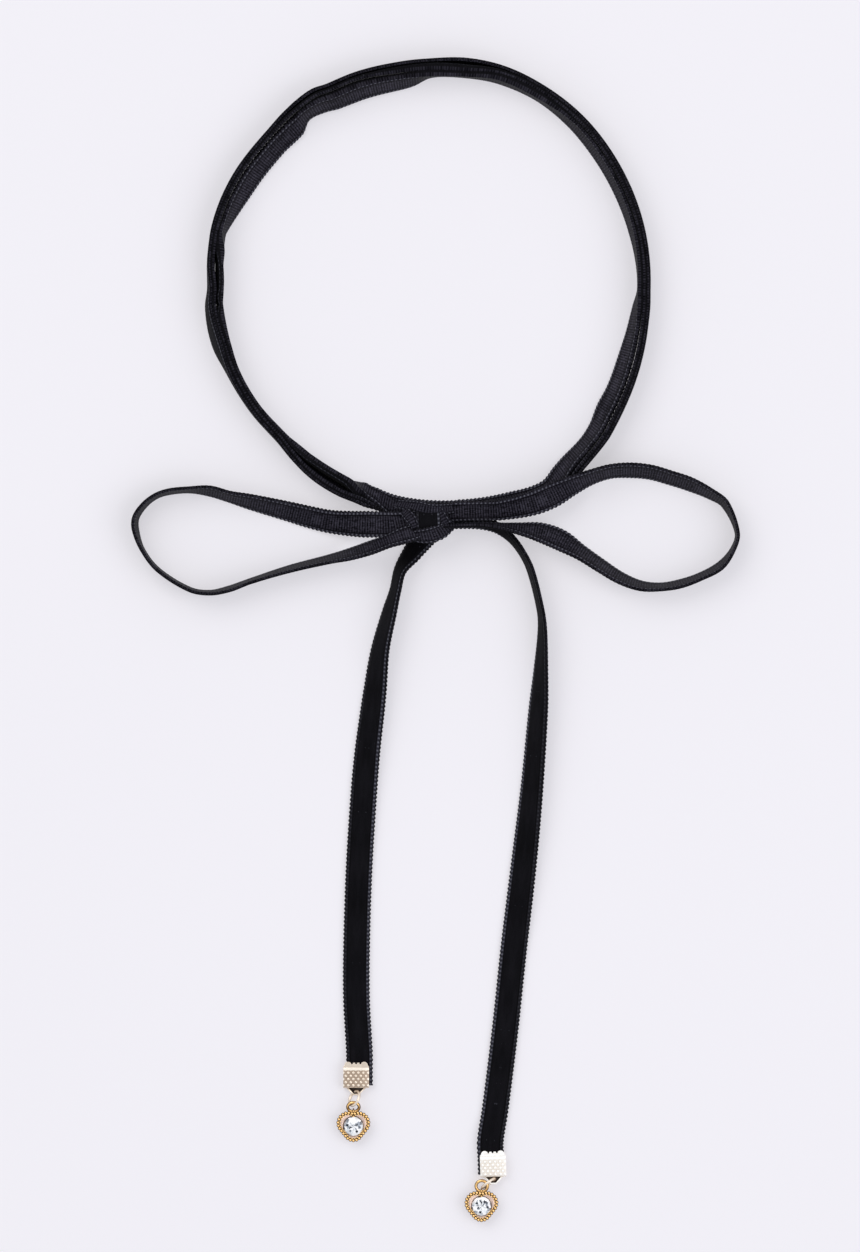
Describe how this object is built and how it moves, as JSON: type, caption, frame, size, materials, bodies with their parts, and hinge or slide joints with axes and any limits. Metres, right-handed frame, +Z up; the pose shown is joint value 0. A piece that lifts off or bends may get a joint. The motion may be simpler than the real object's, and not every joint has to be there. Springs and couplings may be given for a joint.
{
  "type": "choker necklace",
  "caption": "Velvet ribbon choker wound round the neck and tied in a bow, with a beaded heart charm and round clear stone on each long free end.",
  "frame": {"origin": "on the floor that the necklace lies on, under the middle of its outline", "axes": "+Z up from the floor, +Y from the charms to the neck loop, +X to the right"},
  "size_m": [0.1642, 0.314, 0.0128],
  "materials": {
    "velvet_ribbon": "black velvet on one face, ribbed satin on the other",
    "pale_gold": "polished pale gold plate",
    "warm_gold": "polished warm gold plate",
    "crystal": "clear faceted stone with a foiled back"
  },
  "bodies": {
    "root": {"neck_wrap": "velvet_ribbon", "knot": "velvet_ribbon", "bow_loop_left": "velvet_ribbon", "bow_loop_right": "velvet_ribbon", "tail_left": "velvet_ribbon", "tail_right": "velvet_ribbon", "crimp_left": "pale_gold", "jump_ring_left": "pale_gold", "bail_left": "warm_gold", "heart_left": "warm_gold", "crystal_left": "crystal", "crimp_right": "pale_gold", "jump_ring_right": "pale_gold", "bail_right": "warm_gold", "heart_right": "warm_gold", "crystal_right": "crystal"}
  },
  "joints": []
}
